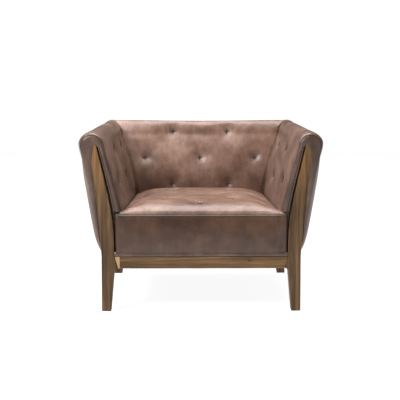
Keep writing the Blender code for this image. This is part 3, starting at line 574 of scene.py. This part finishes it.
# tufts: a pulled cross stitch in a soft dimple
tuft = {"depth": 0.014, "radius": 0.026, "spread": 3, "facing": 0.2, "fall": 1.6, "hold": 0.010,
        "arm": 0.0135, "thread": 0.0021, "lift": 0.0054, "bow": 0.004}
backTufts = [(x, 0.262, 0.5745) for x in (-0.2595, 0.0, 0.2595)]
backTufts += [(x, 0.303, 0.694) for x in (-0.131, 0.131)] + [(x, 0.233, 0.4555) for x in (-0.131, 0.131)]
seatTufts = [(x, y, 0.43) for y in (-0.285, -0.045) for x in (-0.2595, 0.0, 0.2595)]
seatTufts += [(x, y, 0.43) for y in (-0.165, 0.075) for x in (-0.131, 0.131)]
armTufts = [(0.344, -0.195, 0.521), (0.330, 0.065, 0.521), (0.374, -0.055, 0.650), (0.362, 0.190, 0.650)]


def nearestVertices(piece, places):
    tree = KDTree(len(piece.data.vertices))
    for k, v in enumerate(piece.data.vertices):
        tree.insert(v.co, k)
    tree.balance()
    return [tree.find(Vector(p)) for p in places]


def sinkTufts(piece, places):
    # presses a dimple at each place and returns the stitched points: place, outward normal
    mesh = piece.data
    found = [(Vector(co), mesh.vertices[k].normal.copy()) for co, k, gap in nearestVertices(piece, places)]
    for v in mesh.vertices:
        for middle, normal in found:
            away = (v.co - middle).length
            if away < tuft["spread"] * tuft["radius"] and v.normal.dot(normal) > tuft["facing"]:
                fall = math.exp(-(away / tuft["radius"]) ** tuft["fall"])
                v.co -= normal * tuft["depth"] * fall
    mesh.update()
    return [(middle - normal * tuft["depth"], normal) for middle, normal in found]


padding = {"frames": 18, "pressure": 3.0, "quality": 6, "mass": 0.35, "stretch": 18.0, "shear": 8.0,
           "bend": 6.0, "damping": 8.0}


def inflate(piece, held, cap):
    # lets the padding swell the leather between what holds it, by no more than the cap
    mesh = piece.data
    before = np.array([v.co for v in mesh.vertices])
    group = piece.vertex_groups.new(name="held")
    for k in range(len(mesh.vertices)):
        if held[k] > 0:
            group.add([k], float(held[k]), "REPLACE")
    cloth = piece.modifiers.new("padding", "CLOTH")
    s = cloth.settings
    s.quality = padding["quality"]
    s.mass = padding["mass"]
    s.tension_stiffness = s.compression_stiffness = padding["stretch"]
    s.shear_stiffness = padding["shear"]
    s.bending_stiffness = padding["bend"]
    s.tension_damping = s.compression_damping = s.shear_damping = padding["damping"]
    s.vertex_group_mass = "held"
    s.pin_stiffness = 1.0
    s.use_pressure = True
    s.uniform_pressure_force = padding["pressure"]
    s.effector_weights.gravity = 0.0
    cloth.collision_settings.use_collision = False
    cloth.point_cache.frame_end = padding["frames"] + 1
    scene = bpy.context.scene
    for step in range(1, padding["frames"] + 1):
        scene.frame_set(step)
    graph = bpy.context.evaluated_depsgraph_get()
    result = piece.evaluated_get(graph).to_mesh()
    after = np.array([v.co for v in result.vertices])
    piece.evaluated_get(graph).to_mesh_clear()
    piece.modifiers.remove(cloth)
    scene.frame_set(1)
    move = after - before
    length = np.linalg.norm(move, axis=1)
    move *= np.where(length > cap, cap / np.maximum(length, 1e-9), 1.0)[:, None]
    mesh.vertices.foreach_set("co", (before + move).ravel())
    mesh.update()
    piece.vertex_groups.clear()
    print("padding swelled", piece.name, "by up to %.1f mm" % (1000 * length.max()))


def heldWeights(piece, ringSize, ringCount, tufts, footRows=2, endCount=4):
    weights = np.zeros(len(piece.data.vertices))
    grid = np.zeros((ringCount, ringSize))
    grid[:endCount] = grid[-endCount:] = 1.0
    grid[:, :footRows] = grid[:, -footRows:] = 1.0
    weights[:ringSize * ringCount] = grid.ravel()
    for k, v in enumerate(piece.data.vertices):
        for middle, normal in tufts:
            if (v.co - middle).length < tuft["hold"]:
                weights[k] = 1.0
    return weights


def refine(piece, levels=1):
    smoother = piece.modifiers.new("smoother", "SUBSURF")
    smoother.levels = smoother.render_levels = levels


def crossStitches(name, tufts, up=(0, 0, 1)):
    lines = []
    for middle, normal in tufts:
        first = Vector(up) - normal * normal.dot(Vector(up))
        first.normalize()
        second = normal.cross(first)
        for across in (first, second):
            ends = [middle + across * tuft["arm"] * t + normal * (tuft["lift"] + tuft["bow"] * t * t)
                    for t in (-1.0, -0.5, 0.0, 0.5, 1.0)]
            lines.append(np.array(ends))
    return tubes(name, lines, tuft["thread"], 6)


def makePad(name, rings, places, cap):
    piece = ringSolid(name, rings)
    tufts = sinkTufts(piece, places)
    held = heldWeights(piece, len(rings[0]), len(rings), tufts)
    inflate(piece, held, cap=cap)
    refine(piece)
    return piece, tufts


backPad, backStitched = makePad("back_pad", backRings(), backTufts, 0.006)
armPad, armStitched = makePad("arm_pad_right", armRings(), armTufts, 0.005)
armPadLeft = mirrorPiece(armPad, "arm_pad_left")
refine(armPadLeft)
dress(backPad, leather, "leather", "back_cover", "back_foam")
dress(armPad, shadedArmLeather, "leather", "arm_cover_right", "arm_foam_right")
dress(armPadLeft, shadedArmLeather, "leather", "arm_cover_left", "arm_foam_left")
backCross = crossStitches("back_tuft_stitches", backStitched)
armCross = crossStitches("arm_tuft_stitches_right", armStitched)
armCrossLeft = mirrorPiece(armCross, "arm_tuft_stitches_left")
# painted shade: the tuft crosses are made dark to read as the shaded pulled grooves
for piece in (backCross, armCross, armCrossLeft):
    dress(piece, darkThreadAndShade, "leather")
print("back and arms made")


# seat: a boxed top between the arms, whose front reaches out to the posts
seat = {
    "front": -0.393, "halfFront": 0.3545, "stepY": -0.350, "halfBehind": 0.3285, "halfRear": 0.3035,
    "bendY": 0.16, "back": 0.221, "bottom": 0.2419, "seam": 0.4030, "crown": 0.036, "sideDrop": 0.006,
    "cell": 0.009, "boxBulge": 0.003, "fall": 0.135, "frontFall": 0.085, "rearFall": 0.10,
    "sideBow": 2.4, "frontBow": 2.2, "rearLow": 0.72, "crownLift": 0.0045, "middleY": -0.09,
    "outline": 2.6, "boxDrop": 0.0095, "boxSteps": 19, "seamPull": 0.0062,
}


def seatOutline(count):
    s = seat
    half = [(0.0, s["front"]), (s["halfFront"], s["front"]), (s["halfFront"], s["stepY"] - 0.012),
            (s["halfBehind"], s["stepY"] + 0.012), (s["halfRear"], s["bendY"]), (s["halfRear"], s["back"]),
            (0.0, s["back"])]
    dense = []
    for a, b in zip(half, half[1:]):
        a, b = np.array(a), np.array(b)
        steps = max(2, int(np.linalg.norm(b - a) / 0.03))
        dense += [mix(a, b, k / steps) for k in range(steps)]
    dense = np.array(dense + [half[-1]])
    line = np.concatenate([dense, (dense * (-1, 1))[::-1][1:-1]])
    line = rounded(line)
    line = np.concatenate([line, line[:1]])
    return resample(line, count + 1)[:-1]


def seatHalf(y):
    s = seat
    return np.interp(y, [s["front"], s["stepY"] - 0.012, s["stepY"] + 0.012, s["bendY"], s["back"]],
                     [s["halfFront"], s["halfFront"], s["halfBehind"], s["halfRear"], s["halfRear"]])


def crownHeight(x, y):
    s = seat
    side = np.clip((seatHalf(y) - np.abs(x)) / s["fall"], 0, 1)
    ahead = np.clip((y - s["front"]) / s["frontFall"], 0, 1)
    behind = np.clip((s["back"] - y) / s["rearFall"], 0, 1)
    bow = (1 - (1 - side) ** s["sideBow"]) * (1 - (1 - ahead) ** s["frontBow"])
    drop = s["sideDrop"] * ease((y - s["front"]) / 0.12) * (1 - side) ** 2
    return s["seam"] + s["crown"] * bow * mix(s["rearLow"], 1.0, ease(behind)) - drop


def seatRings():
    s = seat
    count = int(s["outline"] / s["cell"])
    outline = seatOutline(count)
    ahead = np.roll(outline, -1, axis=0) - np.roll(outline, 1, axis=0)
    outward = np.stack([ahead[:, 1], -ahead[:, 0]], axis=1)
    outward /= np.linalg.norm(outward, axis=1)[:, None]

    def ring(pull, z):
        flat = outline - outward * pull
        return np.column_stack([flat, np.broadcast_to(z, (count,))])

    rings = [ring(0.0035, s["bottom"]), ring(0.001, s["bottom"] + 0.0015)]
    boxTop = s["seam"] - s["boxDrop"]
    for z in np.linspace(s["bottom"] + 0.006, boxTop - 0.003, s["boxSteps"]):
        swell = math.sin(math.pi * (z - s["bottom"]) / (boxTop - s["bottom"]))
        rings.append(ring(0.004 - s["boxBulge"] * swell, z))
    for pull, rise in ((0.0025, -0.0100), (0.0055, -0.0088), (0.0022, -0.0075), (0.0012, -0.0045),
                       (0.0024, -0.0015), (0.0062, -0.0004), (0.0040, 0.0014), (0.0062, 0.0045)):
        rings.append(ring(pull, s["seam"] + rise))
    seamRow = len(rings)
    inner = outline - outward * s["seamPull"]
    middle = np.array([0.0, s["middleY"]])
    shares = np.concatenate([np.linspace(0.985, 0.90, 7), np.linspace(0.872, 0.03, 30)])
    for share in shares:
        flat = middle + (inner - middle) * share
        z = crownHeight(flat[:, 0], flat[:, 1]) + s["crownLift"]
        rings.append(np.column_stack([flat, z]))
    return rings, seamRow


rings, seamRow = seatRings()
seatPad = ringSolid("seat_pad", rings)
seatStitched = sinkTufts(seatPad, seatTufts)
held = np.zeros((len(rings), len(rings[0])))
held[:2] = 1.0
held[seamRow - 9:seamRow + 1] = 1.0
held = held.ravel()
for k, v in enumerate(seatPad.data.vertices):
    if any((v.co - middle).length < tuft["hold"] for middle, normal in seatStitched):
        held[k] = 1.0
inflate(seatPad, held, cap=0.009)
refine(seatPad)
dress(seatPad, seatLeather, "leather", "seat_cover", "seat_foam")
# painted shade: the seat's tuft crosses are made dark to read as the shaded pulled grooves
dress(crossStitches("seat_tuft_stitches", seatStitched, (0, 1, 0)), darkThreadAndShade, "leather")
print("seat made")

# top-stitching along the seat's front seam
seamFront = seat["front"] - 0.0002
topStitch = {"half": 0.345, "inward": 0.0012, "drop": 0.0100, "spacing": 0.0065, "length": 0.0042,
             "lift": 0.0008, "thread": 0.0005}
line = np.array([(x, seamFront + topStitch["inward"], seat["seam"] - topStitch["drop"])
                 for x in np.linspace(-topStitch["half"], topStitch["half"], 90)])
threads = stitchLines(line, topStitch["spacing"], topStitch["length"], (0, -topStitch["lift"], 0))
dress(tubes("seat_seam_stitches", threads, topStitch["thread"], 6), darkThreadAndShade, "leather")

# leather strip tacked along the front rail
flange = {"half": 0.3562, "low": 0.2299, "high": 0.2440, "face": -0.3945, "depth": 0.0075, "wave": 0.0010}


def makeFlange():
    s = flange
    rings = []
    for x in np.linspace(-s["half"], s["half"], 130):
        wave = s["wave"] * (math.sin(31 * x + 0.6) * 0.6 + math.sin(73 * x + 2.0) * 0.4)
        low, high = s["low"] + 0.0006 + 0.5 * abs(wave), s["high"] - 0.0006 + 0.35 * wave
        face = s["face"] + 0.0008 + 0.5 * wave
        back = s["face"] + s["depth"]
        rings.append([(x, face + 0.0010, low), (x, face, low + 0.0014),
                      (x, face + 0.0002, mix(low, high, 0.5)),
                      (x, face, high - 0.0014), (x, face + 0.0012, high), (x, back, high), (x, back, low)])
    return ringSolid("front_flange", rings)


dress(makeFlange(), shadedPanelLeather, "leather", "seat_flange")


# arm fronts: a padded leather band that runs up the outside of the post, over it and down inside
band = {"foot": 0.2575, "innerEnd": 0.4105, "face": -0.3890, "back": -0.3505, "puff": 0.0035,
        "strip": 0.0062, "gap": 0.0004, "channel": 0.0075}


def bezier(a, b, c, d, count):
    t = np.linspace(0, 1, count)[:, None]
    return (1 - t) ** 3 * a + 3 * t * (1 - t) ** 2 * b + 3 * t * t * (1 - t) * c + t ** 3 * d


def bandEdges(count):
    # outer and inner edge of the band, from the outer foot over the top to the inner foot
    s, p = shell, post
    outerX = s["legOuter"] + p["reach"]
    topX = outerX - p["topWidth"]
    legInner = s["legOuter"] - s["kneeWidth"]
    full = section(0.0, 1.0, 0.0, 220)
    outer = np.stack([s["cornerX"] + full[:, 0], full[:, 1]], axis=1)
    outer = outer[(outer[:, 1] > band["foot"]) & ((outer[:, 0] > 0.45) | (outer[:, 1] > band["innerEnd"]))]
    z = np.linspace(band["foot"], p["shoulder"], 30)
    outside = np.stack([postOuter(z) + band["gap"], z], axis=1)
    turn = np.linspace(0, math.pi, 16)[1:-1]
    over = np.stack([outerX - p["topWidth"] / 2 + (p["topWidth"] / 2 + band["gap"]) * np.cos(turn),
                     p["shoulder"] + (p["topRise"] + band["gap"]) * np.sin(turn)], axis=1)
    heights = [mix(s["railTop"], p["shoulder"], share) for share in p["bend"]]
    inside = bezier(np.array([legInner, heights[0]]), np.array([legInner, heights[1]]),
                    np.array([mix(legInner, topX, 0.44), heights[2]]), np.array([topX, p["shoulder"]]), 40)
    inside = inside[inside[:, 1] > band["innerEnd"]][::-1] - (band["gap"], 0)
    return resample(outer, count), resample(np.concatenate([outside, over, inside]), count)


def bandPoint(outer, inner, k, away, depth):
    # a place on the band: away is the distance out from the post's edge
    width = np.linalg.norm(outer[k] - inner[k])
    x, z = mix(inner[k], outer[k], min(1.0, away / width))
    return (x, depth, z)


def makeBand():
    count = 150
    outer, inner = bandEdges(count)
    face, back = band["face"], band["back"]
    rings, stitchLine, weltLine = [], [], []
    for k in range(count):
        width = np.linalg.norm(outer[k] - inner[k])
        down = ease(np.array((k / (count - 1) - 0.55) / 0.12))   # 1 on the inner side of the post
        start = mix(0.0, min(band["channel"], 0.30 * width), float(down))
        strip = start + min(band["strip"], 0.30 * (width - start))
        profile = [(start, back), (start, face + 0.004), (start + 0.0008, face + 0.0012),
                   (mix(start, strip, 0.5), face), (strip - 0.0006, face + 0.0010),
                   (strip, face + 0.0030), (strip + 0.0008, face + 0.0008)]
        rest = width - strip
        for part, lift in ((0.22, 0.75), (0.50, 1.0), (0.78, 0.8), (0.93, 0.15)):
            profile.append((strip + rest * part, face - band["puff"] * lift * min(1.0, rest / 0.02)))
        profile += [(width - 0.0006, face + 0.0030), (width, face + 0.007), (width, back)]
        rings.append([bandPoint(outer, inner, k, away, depth) for away, depth in profile])
        stitchLine.append(bandPoint(outer, inner, k, strip - 0.0022, face - 0.0002))
        weltLine.append(bandPoint(outer, inner, k, width - 0.0004, face + 0.0032))
    return ringSolid("arm_band_right", rings), np.array(stitchLine), np.array(weltLine)


armBand, stitchLine, weltLine = makeBand()
armBandLeft = mirrorPiece(armBand, "arm_band_left")
for piece, side in ((armBand, "right"), (armBandLeft, "left")):
    refine(piece)
    dress(piece, shadedPanelLeather, "leather", "arm_front_" + side)
armWelt = tubes("arm_welt_right", [resample(weltLine, 170)], 0.0021, 8)
armStitch = tubes("arm_stitches_right", stitchLines(stitchLine, 0.0072, 0.0046, (0, -0.0006, 0)), 0.00065, 6)
for piece, material in ((armWelt, shadedWeltLeather), (armStitch, paleThread)):
    other = mirrorPiece(piece, piece.name.replace("right", "left"))
    for made in (piece, other):
        dress(made, material, "leather")
print("arm fronts made")

# black cloth stapled under the seat
cloth = {"low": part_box("dust_cover")[0], "high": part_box("dust_cover")[1], "sag": 0.004, "grid": 60}


def makeDustCover():
    low, high = cloth["low"], cloth["high"]
    grid = cloth["grid"]
    xs, ys = np.linspace(low.x, high.x, grid), np.linspace(low.y, high.y, grid)
    verts, faces = [], []
    for y in ys:
        for x in xs:
            u, v = (x - low.x) / (high.x - low.x), (y - low.y) / (high.y - low.y)
            sag = cloth["sag"] * math.sin(math.pi * u) * math.sin(math.pi * v)
            ripple = 0.0005 * math.sin(38 * x + 3 * y) * math.sin(math.pi * u)
            verts.append((x, y, high.z - 0.0002 - sag + ripple))
    for j in range(grid - 1):
        for i in range(grid - 1):
            a = j * grid + i
            faces.append((a, a + 1, a + grid + 1, a + grid))
    piece = newPiece("dust_cloth", verts, faces)
    thick = piece.modifiers.new("thickness", "SOLIDIFY")
    thick.thickness = 0.0006
    thick.offset = -1.0
    return piece


dustCover = dress(makeDustCover(), dustCloth, "black_cloth", "dust_cover")

# floor, light and camera
studio = {
    "floorSize": 14.0, "ambient": 0.15, "backdrop": 1.05, "floorTone": 0.30, "floorGlow": 0.92,
    "key": {"place": (-2.5, -2.1, 3.0), "size": 1.7, "power": 172.0},
    "top": {"place": (-0.1, 0.1, 3.1), "size": 2.6, "power": 148.0},
    "fill": {"place": (3.2, -3.0, 1.4), "size": 2.6, "power": 4.0},
}


def makeStudio():
    f = Finish("paleFloor")
    specks = f.noise(3.0, 2.0, 0.5)
    pale = studio["floorTone"]
    f.set(colour=f.ramp(specks, [(0.3, (pale - 0.01,) * 3), (0.7, (pale + 0.01,) * 3)]), roughness=0.9,
          specular=0.0)
    f.shader.inputs["Emission Color"].default_value = (1.0, 1.0, 1.0, 1.0)
    f.shader.inputs["Emission Strength"].default_value = studio["floorGlow"]
    half = studio["floorSize"] / 2
    floor = newPiece("floor", [(-half, -half, 0), (half, -half, 0), (half, half, 0), (-half, half, 0)],
                     [(0, 1, 2, 3)], smooth=False)
    floor.data.materials.append(f.material)
    aim = Vector((0, 0, 0.4))
    for name in ("key", "top", "fill"):
        lamp = studio[name]
        data = bpy.data.lights.new(name, "AREA")
        data.size = lamp["size"]
        data.energy = lamp["power"]
        light = bpy.data.objects.new(name, data)
        light.location = lamp["place"]
        light.rotation_euler = (aim - Vector(lamp["place"])).to_track_quat("-Z", "Y").to_euler()
        bpy.context.scene.collection.objects.link(light)
    world = bpy.data.worlds.new("studio")
    world.use_nodes = True
    bpy.context.scene.world = world
    tree = world.node_tree
    ground = tree.nodes["Background"]
    ground.inputs["Color"].default_value = (1.0, 1.0, 1.0, 1.0)
    ground.inputs["Strength"].default_value = studio["ambient"]
    seen = tree.nodes.new("ShaderNodeBackground")
    seen.inputs["Color"].default_value = (1.0, 1.0, 1.0, 1.0)
    seen.inputs["Strength"].default_value = studio["backdrop"]
    rays = tree.nodes.new("ShaderNodeLightPath")
    joined = tree.nodes.new("ShaderNodeMixShader")
    tree.links.new(rays.outputs["Is Camera Ray"], joined.inputs[0])
    tree.links.new(ground.outputs[0], joined.inputs[1])
    tree.links.new(seen.outputs[0], joined.inputs[2])
    tree.links.new(joined.outputs[0], tree.nodes["World Output"].inputs["Surface"])


camera = {"place": (-0.040, -3.845, 0.9745), "down": 8.4, "right": 0.58, "lens": 77.4}


def makeCamera():
    data = bpy.data.cameras.new("camera")
    data.lens = camera["lens"]
    data.sensor_width = 36.0
    view = bpy.data.objects.new("camera", data)
    view.location = camera["place"]
    view.rotation_euler = Euler((math.radians(90 - camera["down"]), 0, -math.radians(camera["right"])))
    bpy.context.scene.collection.objects.link(view)
    bpy.context.scene.camera = view


makeStudio()
makeCamera()
bpy.context.scene.view_settings.view_transform = "Standard"
print("studio made")
